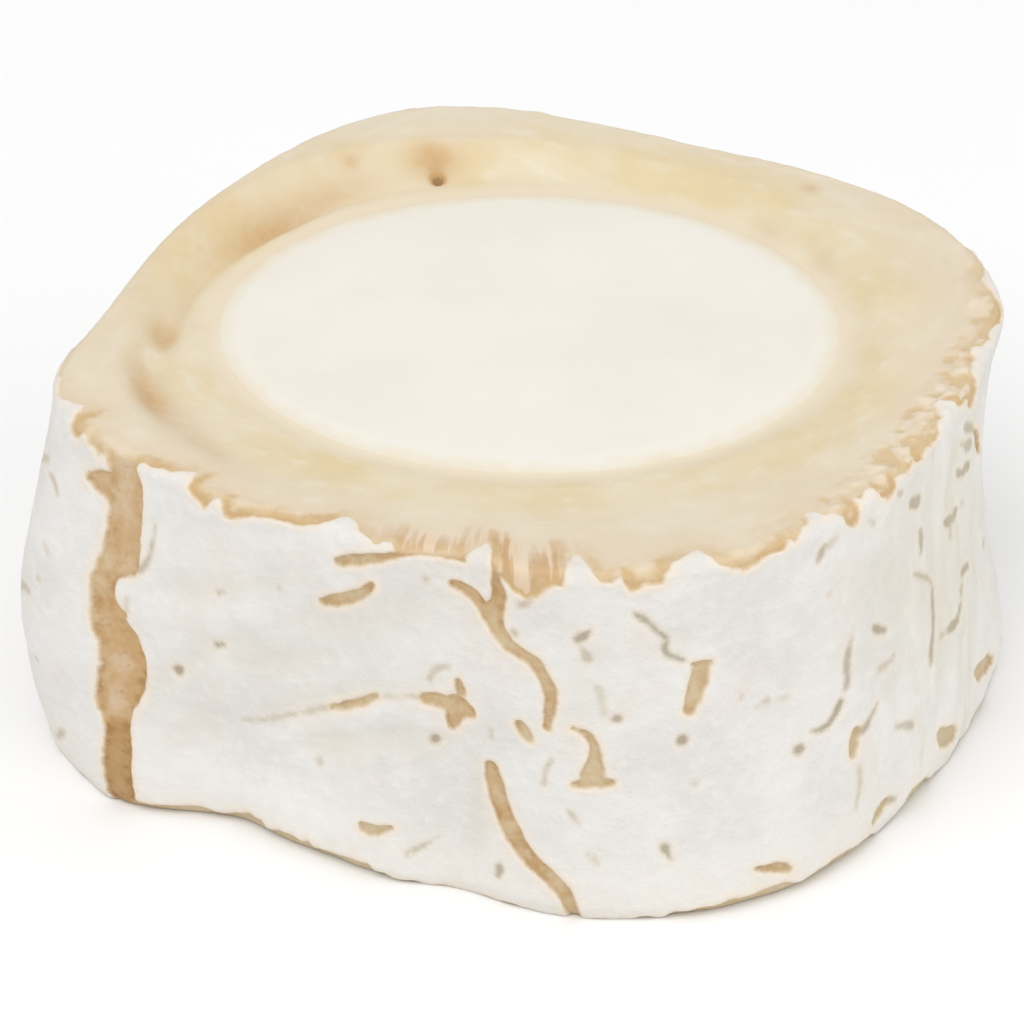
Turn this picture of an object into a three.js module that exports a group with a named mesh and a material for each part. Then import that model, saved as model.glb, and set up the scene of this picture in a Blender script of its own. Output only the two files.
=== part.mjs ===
// Slice of a mould-ripened goat cheese log, standing on one of its two cut faces.
// A firm chalky core runs through it from cut to cut inside a ring of softer, ripened cheese.
// Millimetres, +Z up, foot on z = 0, the long way across along X.
import * as THREE from 'three';
import { mergeVertices } from 'three/addons/utils/BufferGeometryUtils.js';

// Driving dimensions
const radius = 38.1;          // wall of the log before its swells
const height = 35;            // cut face above the foot, beside the core
const crownRound = 1.2;       // rounding of the upper edge
const footRound = 1.5;        // rounding of the lower edge
const gap = 0.3;              // between core and ring
const columns = 128;          // steps around
const centre = { x: 0.8, y: 0.1 };   // from the log's own axis to the middle of the slice

const core = { alongX: 56, alongY: 49.6, turn: -4, x: 1.6, y: 3.0, dome: 0.15, round: 0.5 };

// Swells of the wall. Angles run anticlockwise from +X, seen from above.
const swells = [
  { at: 17, spread: 29, by: 9.2 },     // right corner
  { at: 100, spread: 24, by: 3.9 },    // back corner
  { at: 149, spread: 37, by: -1.9 },   // flat at the back left
  { at: 196, spread: 15, by: 3.8 },    // left corner
  { at: 242, spread: 12, by: -2.2 },   // flat at the front left
  { at: 262, spread: 9, by: -2.5 },    // fold in the front
  { at: 303, spread: 40, by: 3.8 },    // round front
];

// Swells that reach only part of the height, centred so far up and fading over so much
const bulges = [
  { at: 198, spread: 19, by: 4.9, up: 14, rise: 17 },    // belly at the left
  { at: 214, spread: 8, by: 2.9, up: 0, rise: 9 },       // left toe
  { at: 225, spread: 10, by: -2.3, up: 0, rise: 16 },    // tuck under the flat
  { at: 300, spread: 22, by: 2.5, up: 1, rise: 12 },     // front toe
  { at: 16, spread: 23, by: -4.2, up: 21, rise: 16 },    // waist at the right
  { at: 342, spread: 27, by: 2.5, up: 9, rise: 16 },     // right toe
  { at: 60, spread: 26, by: 0.9, up: 12, rise: 12 },     // belly at the back
  { at: 128, spread: 19, by: -1.3, up: 22, rise: 11 },   // hollow at the back
  { at: 6, spread: 8, by: 0.6, up: 36, rise: 2 },        // edge pushed out at the right corner
];

// The ring's upper face rises a little to its outside, and a lip stands up at the back left,
// behind a shallow moat
const rise = { by: 0.5, afterCore: 1, beforeWall: 2 };
const lips = [
  { at: 125, spread: 49, by: 3.1 },
  { at: 192, spread: 20, by: 0.6 },
  { at: 38, spread: 40, by: 1.4 },
];
const lip = { from: 30.6, to: 34.8, beforeWall: 0.8 };
const moat = { at: 152, spread: 52, radius: 31.2, width: 1.5, depth: 0.5 };
const moatOut = { at: 200, spread: 20, by: 2.4 };   // it runs further out at the left corner
const sag = { off: 0.8, width: 1.6, depth: 0.35 };   // in the ring, beside the core

// A plain ring and a plain core, which the functions below then settle into shape
const plain = { outside: 40, inside: 26, height: 36 };

const hump = (away, spread) => Math.exp(-((away / spread) ** 2));
const turnTo = (angle, at) => THREE.MathUtils.euclideanModulo(angle - at + 180, 360) - 180;
const sum = (list, each) => list.reduce((total, item) => total + each(item), 0);

function wallAt(angle, up) {
  return radius
    + sum(swells, (s) => s.by * hump(turnTo(angle, s.at), s.spread))
    + sum(bulges, (s) => s.by * hump(turnTo(angle, s.at), s.spread) * hump(up - s.up, s.rise));
}

// Distance from the log's axis to the edge of the oval core
function coreAt(angle) {
  const turn = THREE.MathUtils.degToRad(core.turn);
  const way = THREE.MathUtils.degToRad(angle) - turn;
  const dx = Math.cos(way) / (core.alongX / 2);
  const dy = Math.sin(way) / (core.alongY / 2);
  const ox = -(core.x * Math.cos(turn) + core.y * Math.sin(turn)) / (core.alongX / 2);
  const oy = -(core.y * Math.cos(turn) - core.x * Math.sin(turn)) / (core.alongY / 2);
  const a = dx * dx + dy * dy;
  const b = dx * ox + dy * oy;
  const c = ox * ox + oy * oy - 1;
  return (-b + Math.sqrt(b * b - a * c)) / a;
}

function faceAt(angle, out) {
  const inner = coreAt(angle);
  const outer = wallAt(angle, height);
  const away = sum(lips, (s) => s.by * hump(turnTo(angle, s.at), s.spread));
  const shift = moatOut.by * hump(turnTo(angle, moatOut.at), moatOut.spread);
  const lipTop = Math.min(lip.to + shift, outer - lip.beforeWall);
  return height
    + rise.by * THREE.MathUtils.smoothstep(out, inner + rise.afterCore, outer - rise.beforeWall)
    + away * THREE.MathUtils.smoothstep(out, lip.from + shift, lipTop)
    - moat.depth * hump(turnTo(angle, moat.at), moat.spread) * hump(out - moat.radius - shift, moat.width)
    - sag.depth * hump(out - inner - sag.off, sag.width);
}

// Turns a plain closed profile into a solid and moves every point of it
function settle(profile, move) {
  let shape = new THREE.LatheGeometry(profile.map(([x, y]) => new THREE.Vector2(x, y)), columns);
  shape.rotateX(Math.PI / 2);
  shape.deleteAttribute('normal');
  shape.deleteAttribute('uv');
  shape = mergeVertices(shape, 1e-3);
  const points = shape.attributes.position;
  for (let i = 0; i < points.count; i += 1) {
    const out = Math.hypot(points.getX(i), points.getY(i));
    const way = out > 1e-6 ? Math.atan2(points.getY(i), points.getX(i)) : 0;
    const [far, up] = move(out, THREE.MathUtils.radToDeg(way), points.getZ(i));
    points.setXYZ(i, far * Math.cos(way) - centre.x, far * Math.sin(way) - centre.y, up);
  }
  shape.computeVertexNormals();
  return shape;
}

// Ring: up the wall, in over the upper cut, down beside the core and out under the foot
function ringProfile() {
  const { outside, inside, height: top } = plain;
  const points = [];
  const arcSteps = 3;
  const arc = (x, y, r, from, to) => {
    for (let k = 0; k <= arcSteps; k += 1) {
      const a = THREE.MathUtils.degToRad(from + ((to - from) * k) / arcSteps);
      points.push([x + r * Math.cos(a), y + r * Math.sin(a)]);
    }
  };
  arc(outside - footRound, footRound, footRound, -90, 0);
  const wallRows = 10;
  for (let k = 1; k < wallRows; k += 1) {
    points.push([outside, footRound + ((top - footRound - crownRound) * k) / wallRows]);
  }
  arc(outside - crownRound, top - crownRound, crownRound, 0, 90);
  const faceRows = 8;
  const width = outside - crownRound - inside;
  for (let k = 1; k <= faceRows; k += 1) points.push([inside + width * (1 - k / faceRows), top]);
  points.push([inside, top / 2], [inside, 0]);
  points.push([inside + width / 2, 0], [outside - footRound, 0]);
  return points;
}

const ring = settle(ringProfile(), (out, angle, up) => {
  const inner = coreAt(angle) + gap / 2;
  const share = (out - plain.inside) / (plain.outside - plain.inside);
  const lifted = (up / plain.height) * height;
  const far = inner + share * (wallAt(angle, lifted) - inner);
  return [far, (up / plain.height) * faceAt(angle, far)];
});

// Core: out under the foot, up its side, in over a rounded edge and across the cut
function coreProfile() {
  const { inside, height: top } = plain;
  const faceRings = [0.8, 0.5, 0.25, 0].map((share) => [inside * share, top]);
  return [
    [0, 0], [inside / 2, 0], [inside, 0], [inside, top / 2], [inside, top - core.round],
    [inside - core.round, top], ...faceRings,
  ];
}

const plug = settle(coreProfile(), (out, angle, up) => {
  const share = out / plain.inside;
  const edgeHeight = height - sag.depth * hump((1 - share) * plain.inside, sag.width);
  return [
    share * (coreAt(angle) - gap / 2),
    (up / plain.height) * (edgeHeight + core.dome * (1 - share * share)),
  ];
});

const cream = new THREE.MeshStandardMaterial({ color: '#e6d9bd', roughness: 0.6, metalness: 0 });
const chalk = new THREE.MeshStandardMaterial({ color: '#f1ede1', roughness: 0.75, metalness: 0 });

const ringMesh = new THREE.Mesh(ring, cream);
ringMesh.name = 'ripened_layer';

const coreMesh = new THREE.Mesh(plug, chalk);
coreMesh.name = 'chalk_core';

const group = new THREE.Group();
group.name = 'goat_cheese_slice';
group.add(ringMesh, coreMesh);

export default group;
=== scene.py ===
import math
import random

import bpy
import numpy as np
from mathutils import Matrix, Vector, noise


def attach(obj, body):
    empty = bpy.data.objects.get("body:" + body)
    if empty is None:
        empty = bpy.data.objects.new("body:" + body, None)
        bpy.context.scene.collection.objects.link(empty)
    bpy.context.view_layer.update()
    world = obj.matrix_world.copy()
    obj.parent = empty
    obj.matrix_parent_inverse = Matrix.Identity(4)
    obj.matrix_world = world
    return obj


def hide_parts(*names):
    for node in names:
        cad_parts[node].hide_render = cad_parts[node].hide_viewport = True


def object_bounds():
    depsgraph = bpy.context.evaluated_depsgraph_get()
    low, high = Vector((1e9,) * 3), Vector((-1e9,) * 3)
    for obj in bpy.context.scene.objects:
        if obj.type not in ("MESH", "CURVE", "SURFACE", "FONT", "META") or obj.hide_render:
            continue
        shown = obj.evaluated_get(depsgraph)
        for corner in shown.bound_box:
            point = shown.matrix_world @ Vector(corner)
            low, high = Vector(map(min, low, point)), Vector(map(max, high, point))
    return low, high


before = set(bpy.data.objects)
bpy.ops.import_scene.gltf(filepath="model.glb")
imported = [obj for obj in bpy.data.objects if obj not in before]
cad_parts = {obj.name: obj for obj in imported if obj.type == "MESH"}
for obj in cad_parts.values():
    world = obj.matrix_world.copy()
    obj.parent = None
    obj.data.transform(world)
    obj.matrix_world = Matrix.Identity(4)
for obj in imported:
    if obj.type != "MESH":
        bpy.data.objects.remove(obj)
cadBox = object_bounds()
print("frame loaded")


# A slice of goat cheese log. Lengths in this script are millimetres unless a name says otherwise,
# and angles are degrees round the log, anticlockwise from +X as seen from above.
mm = 0.001

# The same log that the CAD solids are made from
log = {
    "radius": 38.1,
    "height": 35.0,
    "crownRound": 1.2,
    "footRound": 1.5,
    "centre": (0.8, 0.1),
    # angle, spread, by
    "swells": [
        (17, 29, 9.2), (100, 24, 3.9), (149, 37, -1.9), (196, 15, 3.8),
        (242, 12, -2.2), (262, 9, -2.5), (303, 40, 3.8),
    ],
    # angle, spread, by, up, rise
    "bulges": [
        (198, 19, 4.9, 14, 17), (214, 8, 2.9, 0, 9), (225, 10, -2.3, 0, 16),
        (300, 22, 2.5, 1, 12), (16, 23, -4.2, 21, 16), (342, 27, 2.5, 9, 16),
        (60, 26, 0.9, 12, 12), (128, 19, -1.3, 22, 11), (6, 8, 0.6, 36, 2),
    ],
    "rise": {"by": 0.5, "afterCore": 1, "beforeWall": 2},
    "lips": [(125, 49, 3.1), (192, 20, 0.6), (38, 40, 1.4)],
    "lip": {"from": 30.6, "to": 34.8, "beforeWall": 0.8},
    "moat": {"at": 152, "spread": 52, "radius": 31.2, "width": 1.5, "depth": 0.5},
    "moatOut": (200, 20, 2.4),
    "sag": {"off": 0.8, "width": 1.6, "depth": 0.35},
    "core": {"alongX": 56, "alongY": 49.6, "turn": -4, "x": 1.6, "y": 3.0, "dome": 0.15},
}


# 1 in the middle, fading out over the spread
def hump(away, spread):
    return np.exp(-((away / spread) ** 2))


# How far round from one angle to another, from -180 to 180
def turnTo(angle, at):
    return (angle - at + 180) % 360 - 180


# Rises softly from 0 at low to 1 at high
def smooth(value, low, high):
    part = np.clip((value - low) / (high - low), 0, 1)
    return part * part * (3 - 2 * part)


# Distance from the log's axis to its wall
def wallAt(angle, up):
    out = log["radius"] + 0 * angle
    for at, spread, by in log["swells"]:
        out = out + by * hump(turnTo(angle, at), spread)
    for at, spread, by, high, rise in log["bulges"]:
        out = out + by * hump(turnTo(angle, at), spread) * hump(up - high, rise)
    return out


# Distance from the log's axis to the edge of its oval core
def coreAt(angle):
    oval = log["core"]
    turn = math.radians(oval["turn"])
    way = np.radians(angle) - turn
    dx, dy = np.cos(way) / (oval["alongX"] / 2), np.sin(way) / (oval["alongY"] / 2)
    ox = -(oval["x"] * math.cos(turn) + oval["y"] * math.sin(turn)) / (oval["alongX"] / 2)
    oy = -(oval["y"] * math.cos(turn) - oval["x"] * math.sin(turn)) / (oval["alongY"] / 2)
    a, b, c = dx * dx + dy * dy, dx * ox + dy * oy, ox * ox + oy * oy - 1
    return (-b + np.sqrt(b * b - a * c)) / a


# How far out the moat lies behind the lip, against its usual radius
def moatShift(angle):
    at, spread, by = log["moatOut"]
    return by * hump(turnTo(angle, at), spread)


# The height of the cut face
def faceAt(angle, out):
    inner, outer = coreAt(angle), wallAt(angle, log["height"])
    rise, lip, moat, sag = log["rise"], log["lip"], log["moat"], log["sag"]
    away = sum(by * hump(turnTo(angle, at), spread) for at, spread, by in log["lips"])
    shift = moatShift(angle)
    lipTo = np.minimum(lip["to"] + shift, outer - lip["beforeWall"])
    up = log["height"] + rise["by"] * smooth(out, inner + rise["afterCore"], outer - rise["beforeWall"])
    up = up + away * smooth(out, lip["from"] + shift, lipTo)
    up = up - moat["depth"] * hump(turnTo(angle, moat["at"]), moat["spread"]) * hump(
        out - moat["radius"] - shift, moat["width"])
    return up - sag["depth"] * hump(out - inner - sag["off"], sag["width"])


# The height of the cut edge
def cornerAt(angle):
    return faceAt(angle, wallAt(angle, log["height"]))


# A place on the skin: so far along it, up the wall and then in over the cut face, and lifted off
# it by so much. Along is the height on the wall, less than 0 under the foot.
def skinAt(angle, along, lift):
    crown, foot = log["crownRound"], log["footRound"]
    corner = cornerAt(angle)
    turnUp = np.clip((along - corner + crown) / (2 * crown), 0, 1) * math.pi / 2
    turnDown = np.clip((foot - along) / (2 * foot), 0, 1) * math.pi / 2
    over = np.maximum(along - corner - crown, 0)
    up = np.clip(along, foot, corner - crown)
    out = wallAt(angle, np.minimum(up, log["height"]))
    out = out - crown * (1 - np.cos(turnUp)) - foot * (1 - np.cos(turnDown)) - over
    up = up + crown * np.sin(turnUp) - foot * np.sin(turnDown)
    up = up + (faceAt(angle, out) - corner) * np.sin(turnUp)
    normalOut = np.cos(turnUp) * np.cos(turnDown)
    normalUp = np.sin(turnUp) - np.sin(turnDown)
    return out + normalOut * lift, np.maximum(up + normalUp * lift, 0)


# Points in the frame, whose origin lies a little off the log's axis
def place(angle, out, up):
    way = np.radians(angle)
    x, y = out * np.cos(way) - log["centre"][0], out * np.sin(way) - log["centre"][1]
    return np.stack([x, y, up + 0 * angle], axis=1)


# A place for patterns that follow the skin round the corner onto the cut face
def skinSpot(angle, along):
    way = np.radians(angle)
    radius = 39   # the wall's, near enough
    return np.stack([radius * np.cos(way), radius * np.sin(way), along], axis=1)


# Smooth random lumps of one size, from about -1 to 1
def lumps(points, size, seed, stretch=(1, 1, 1)):
    shift = Vector((seed * 7.31, seed * 3.17, seed * 5.73))
    scaled = points / (np.array(stretch) * size)
    return np.array([noise.noise(Vector(p) + shift) for p in scaled.tolist()])


# Each tear has a tone, from 0 for a pale shallow one to 1 for a brown one, and then a line of
# places: angle, height, half its width there
tears = [
    # the streak down the left
    (0.55, [(211, 36.5, 1.9), (211, 34.5, 1.65), (211.8, 33, 1.9), (211.9, 31, 2.0), (212, 29, 1.9),
            (212, 27, 1.9), (211.9, 25.6, 1.9)]),
    (0.65, [(205.9, 31.9, 0.5), (207.3, 32, 1.1), (209, 32.1, 1.3)]),
    (0.65, [(211.6, 25.4, 1.8), (210.6, 24.3, 1.35), (210.1, 23, 1.25), (210.1, 21.5, 1.2),
            (210.6, 20, 1.5), (211.2, 18.5, 1.75), (212.4, 17, 2.1)]),
    (0.7, [(211.4, 19.9, 1.0), (212.6, 20, 0.45)]),
    (0.95, [(212.4, 17, 2.1), (212.9, 15.5, 2.25), (212.9, 14, 2.1), (212.4, 12, 2.0),
            (212.1, 10.5, 1.8), (212.5, 9, 1.3)]),
    (1.5, [(212.5, 9, 1.3), (212.8, 8, 1.2), (212.9, 6, 1.35), (213, 4, 1.4), (213.2, 2.5, 1.35),
           (213.6, -0.9, 1.2)]),
    # from the cut edge down the front
    (0.6, [(267.9, 37, 0.4), (267.9, 34, 0.42), (268.3, 32.6, 0.75), (268.2, 31.5, 0.8),
           (267.5, 30.2, 1.0), (268, 28.9, 0.85)]),
    (0.35, [(268.2, 28.7, 0.8), (269.6, 27.5, 0.65), (271.2, 26.9, 0.6), (272.8, 26.3, 0.6),
            (274, 25, 0.55), (274.7, 23.6, 0.62), (274.8, 22.4, 0.6), (274.3, 19.8, 0.4)]),
    (0.8, [(262, 32.3, 0.4), (263.5, 32.1, 0.55), (265.2, 31.4, 0.6), (266.2, 30.6, 0.65),
           (267, 29.9, 0.75)]),
    # low in the front
    (0.5, [(267.3, 14.2, 0.7), (267.7, 12.8, 0.92), (268.5, 10.6, 0.88), (269.7, 8.6, 0.92),
           (270.9, 7, 0.88), (272.5, 5.6, 0.8), (274.4, 4.4, 0.75), (276.1, 3.1, 0.72),
           (277, 1.8, 0.65), (278, -0.9, 0.6)]),
    (0.35, [(257.9, 20, 0.5), (259.5, 20.1, 0.7), (261, 19.8, 0.75), (262.2, 19.8, 1.05),
            (263.4, 19.5, 1.05), (264.2, 19.4, 0.7)]),
    (0.45, [(262.4, 19, 1.0), (262, 18.1, 0.75), (261.8, 17.4, 0.4)]),
    (0.45, [(262.7, 22.2, 0.4), (263.1, 21.2, 0.55)]),
    (0.2, [(277.5, 19.8, 0.18), (279, 19.3, 0.32), (280, 18.3, 0.4), (280.2, 17, 0.6),
           (280, 16, 0.85), (279.8, 15.2, 1.1)]),
    (0.2, [(277.7, 14.1, 0.32), (279.8, 14.3, 0.6), (282.1, 14.3, 0.38)]),
    (0.25, [(293.2, 25, 0.72), (292.9, 24, 0.9), (292.5, 23, 0.88), (292.1, 22, 0.78),
            (291.6, 21, 0.62)]),
    (0.25, [(292.2, 25.4, 0.28), (294.2, 25.3, 0.3)]),
    (0.4, [(245.6, 32.7, 0.4), (247.5, 33.1, 0.58), (250, 33.7, 0.56), (253, 34.4, 0.5),
           (255.5, 35.1, 0.38), (258, 35.3, 0.32), (261, 35.2, 0.3), (263.4, 35.1, 0.3)]),
    (0.4, [(242.9, 27.8, 0.45), (245, 28.4, 0.68), (247.5, 29.2, 0.66), (249.5, 30.2, 0.52),
           (250.7, 31.1, 0.4)]),
    (0.3, [(271, 19.6, 0.45), (271.6, 18.9, 0.6), (272.2, 18.3, 0.45)]),
    (0.2, [(244, 17, 0.2), (246, 17.6, 0.36), (248, 18.3, 0.42), (250, 19.1, 0.4), (251.2, 19.6, 0.25)]),
    (0.15, [(248.8, 5.3, 0.5), (250.3, 5.2, 0.7), (251.8, 5.6, 0.5), (253.2, 6, 0.25)]),
    (0.6, [(299.2, 3.9, 0.2), (300.3, 3.6, 0.35), (301.6, 3.4, 0.5), (302.8, 3.1, 0.45),
           (303.6, 2.7, 0.25)]),
    (0.35, [(314.3, 10.9, 0.45), (314.6, 12, 0.55), (315.1, 12.9, 0.55)]),
    (0.5, [(350.2, 30, 0.4), (352, 28.3, 0.75), (353.6, 26.8, 0.65), (355, 25.6, 0.35)]),
    (0.4, [(5, 22, 0.6), (7.5, 21, 0.9), (10, 19.2, 0.5)]),
    # low on the right
    (0.35, [(345.8, 6.4, 0.4), (347.2, 5.8, 0.85), (349.5, 5, 1.0), (352, 4.2, 0.8), (354, 3.6, 0.4)]),
    (0.4, [(333.6, 5.4, 0.5), (334.6, 4.5, 1.0), (336, 3.8, 1.1), (337.6, 3.1, 0.8)]),
    (0.35, [(318.3, 2.3, 0.4), (319.2, 3, 0.75), (320.3, 3.4, 0.55)]),
]

# Lines and spots too shallow to see into, drawn on the rind: how dark, and then as the tears
marks = [
    (0.7, [(216.9, 30.2, 0.12), (216.6, 28.5, 0.2), (216.1, 27, 0.22), (215.7, 26.2, 0.28),
           (214.8, 25.2, 0.35), (213.6, 24.6, 0.3)]),
    (0.25, [(213.2, 22, 0.15), (213.3, 20.6, 0.25)]),
    (0.4, [(229, 12.3, 0.15), (232, 13, 0.25), (238, 15, 0.25), (244, 17, 0.25)]),
    (0.3, [(251.4, 19.7, 0.2), (255, 20, 0.25), (257.6, 20, 0.3)]),
    (0.5, [(255.4, 3.4, 0.35), (256.5, 3.9, 0.3), (257.5, 4.4, 0.2), (260, 5.6, 0.12)]),
    (0.4, [(258.7, 22.2, 0.4), (259.4, 23.1, 0.35), (261.3, 23.7, 0.25)]),
    (0.45, [(184.5, 21, 0.3), (186.5, 23.4, 0.35), (188.5, 26.4, 0.3), (191, 27.8, 0.4),
            (194, 29.2, 0.4), (196.6, 30.3, 0.3)]),
    (0.5, [(198, 29.3, 0.3), (199.5, 29.2, 0.25), (200.8, 28.6, 0.3)]),
    (0.55, [(190, 14, 0.35), (193, 15.3, 0.45), (196, 17, 0.4), (198.8, 17.8, 0.3)]),
    (0.5, [(200.3, 2.2, 0.25), (202, 3.4, 0.35), (203.5, 4.4, 0.25)]),
    (0.35, [(200.6, 19.8, 0.35)]),
    (0.25, [(200.5, 23.3, 0.2), (201.5, 22.8, 0.3)]),
    (0.4, [(192.3, 7, 0.4)]),
    (0.25, [(187.5, 13.3, 0.3)]),
    (0.3, [(199.8, 10.9, 0.3)]),
    (1, [(219.8, 15.8, 0.5)]),
    (0.85, [(225.9, 19.8, 0.38), (226.8, 20.1, 0.25)]),
    (0.95, [(259.4, 15.8, 0.5)]),
    (0.25, [(241.6, 10.6, 0.5)]),
    (0.35, [(226.8, 25.7, 0.35), (227.6, 26, 0.2)]),
    (0.25, [(236, 28, 0.3)]),
    (0.3, [(258.3, 32.6, 0.4)]),
    (0.5, [(270.2, 28.9, 0.38)]),
    (0.9, [(284.9, 31.4, 0.22), (285.5, 31, 0.3), (286.5, 30.3, 0.25), (287.8, 29.3, 0.2),
           (288.7, 28.4, 0.2), (288.5, 27.6, 0.2), (288.8, 27, 0.32), (289.8, 26.5, 0.3),
           (290.8, 26, 0.2)]),
    (0.5, [(270.8, 31.8, 0.25), (271.6, 32.1, 0.35), (272.3, 32.5, 0.2)]),
    (0.9, [(278, 29.1, 0.4), (278.6, 29.4, 0.5), (279.4, 29.8, 0.25)]),
    (0.5, [(278.7, 27.9, 0.3), (279.1, 27.2, 0.45)]),
    (0.15, [(280.5, 24, 0.35), (281.3, 21.5, 0.3)]),
    (0.8, [(282.8, 20.8, 0.42)]),
    (0.5, [(274.9, 16.4, 0.25), (274.2, 15.2, 0.18), (274, 13.7, 0.2)]),
    (0.3, [(267.3, 18.3, 0.15), (267.4, 17.4, 0.2)]),
    (0.4, [(276.9, 11.4, 0.18), (277.5, 10.7, 0.28), (278.1, 10.2, 0.2)]),
    (0.2, [(279.6, 7, 0.3), (280.5, 6, 0.25)]),
    (1, [(290.7, 18, 0.48)]),
    (0.4, [(292.1, 13.5, 0.35)]),
    (0.9, [(288.3, 7.5, 0.42), (288.8, 6.5, 0.25)]),
    (0.8, [(268.4, 3.9, 0.4), (268.2, 3, 0.25)]),
    (0.3, [(298, 21.4, 0.22), (298.4, 20.9, 0.22)]),
    (0.4, [(300.6, 19.5, 0.15), (301.9, 19.8, 0.38)]),
    (0.35, [(303.4, 19.7, 0.12), (304.4, 19.7, 0.25)]),
    (0.9, [(306, 14, 0.5)]),
    (0.95, [(308, 15.2, 0.2), (309, 15, 0.28), (310.5, 15.1, 0.28), (311.5, 15.6, 0.32),
            (312.3, 16.1, 0.42), (312.9, 16.6, 0.38)]),
    (0.7, [(313.9, 17.8, 0.4), (314.1, 19, 0.42), (314.3, 20.5, 0.48), (314.6, 21.5, 0.4),
           (315.3, 22.2, 0.25)]),
    (0.75, [(315.8, 12.7, 0.45), (316.8, 12.9, 0.4), (318.3, 13.7, 0.3), (319.3, 14.2, 0.2)]),
    (0.3, [(314.8, 9.6, 0.2), (315.4, 8.1, 0.3), (314.4, 5.4, 0.2)]),
    (0.9, [(319.6, 21.9, 0.25), (320.2, 21.5, 0.42), (321, 21.1, 0.32), (321.8, 20.8, 0.2)]),
    (0.35, [(320, 17.5, 0.3), (321.2, 17.4, 0.35), (322.4, 17.7, 0.35), (322.9, 18, 0.25)]),
    (0.6, [(322.6, 10.6, 0.2), (324, 10.1, 0.28), (325, 9.8, 0.45), (325.9, 9.4, 0.38)]),
    (0.7, [(309.3, 32.2, 0.35), (309.7, 32.8, 0.45), (310.3, 33.4, 0.3)]),
    (0.25, [(310.8, 33.3, 0.4), (312, 33.7, 0.3)]),
    (0.3, [(318.5, 33.2, 0.3), (319.5, 32.6, 0.3)]),
    (0.4, [(325, 33.6, 0.3), (326, 33.2, 0.3)]),
    (0.2, [(311.2, 28.1, 0.25)]),
    (0.7, [(321, 3.5, 0.35), (321.8, 3.1, 0.32), (322.9, 2.6, 0.25)]),
    (0.8, [(329, 31.1, 0.5), (330.4, 30.7, 0.6)]),
    (0.7, [(330.8, 27.6, 0.28), (330.7, 26.6, 0.45), (330.5, 25.6, 0.32)]),
    (0.6, [(328.6, 24, 0.25), (330, 23.3, 0.3), (331.8, 22.4, 0.22), (332.8, 21.6, 0.25),
           (333.4, 20.9, 0.25)]),
    (0.75, [(333.3, 20.4, 0.35), (333, 19, 0.42), (332.7, 17.4, 0.45), (331.9, 16.3, 0.4),
            (331.2, 15.2, 0.5), (330.9, 14, 0.28)]),
    (0.5, [(334.9, 15, 0.32), (335.8, 14.9, 0.2)]),
    (0.8, [(336.4, 15, 0.35), (337.4, 15, 0.45), (338.5, 15.1, 0.45), (339.3, 15.6, 0.45),
           (339.8, 16.3, 0.4)]),
    (0.5, [(340.4, 17, 0.35), (341.2, 17.7, 0.35)]),
    (0.8, [(341.8, 18.6, 0.42), (342.8, 18.7, 0.48), (344.4, 18.3, 0.3)]),
    (0.75, [(338.7, 25.3, 0.25), (340.2, 24.8, 0.5), (341.2, 24.7, 0.45), (341.9, 25.2, 0.3)]),
    (0.4, [(339.8, 23.4, 0.35), (340.1, 24.2, 0.35)]),
    (0.3, [(344.2, 25, 0.3), (345.2, 24.6, 0.2)]),
    (0.7, [(345.7, 32.4, 0.3), (347, 31.8, 0.55), (348.6, 31, 0.45)]),
    (0.6, [(344.5, 30.9, 0.28), (346, 30.3, 0.45), (348, 29.6, 0.45)]),
    (0.8, [(343.4, 28.4, 0.3), (345.2, 27.8, 0.6), (347.2, 27.6, 0.5)]),
    (0.4, [(353, 16.6, 0.4), (355, 16.2, 0.3)]),
]

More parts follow.
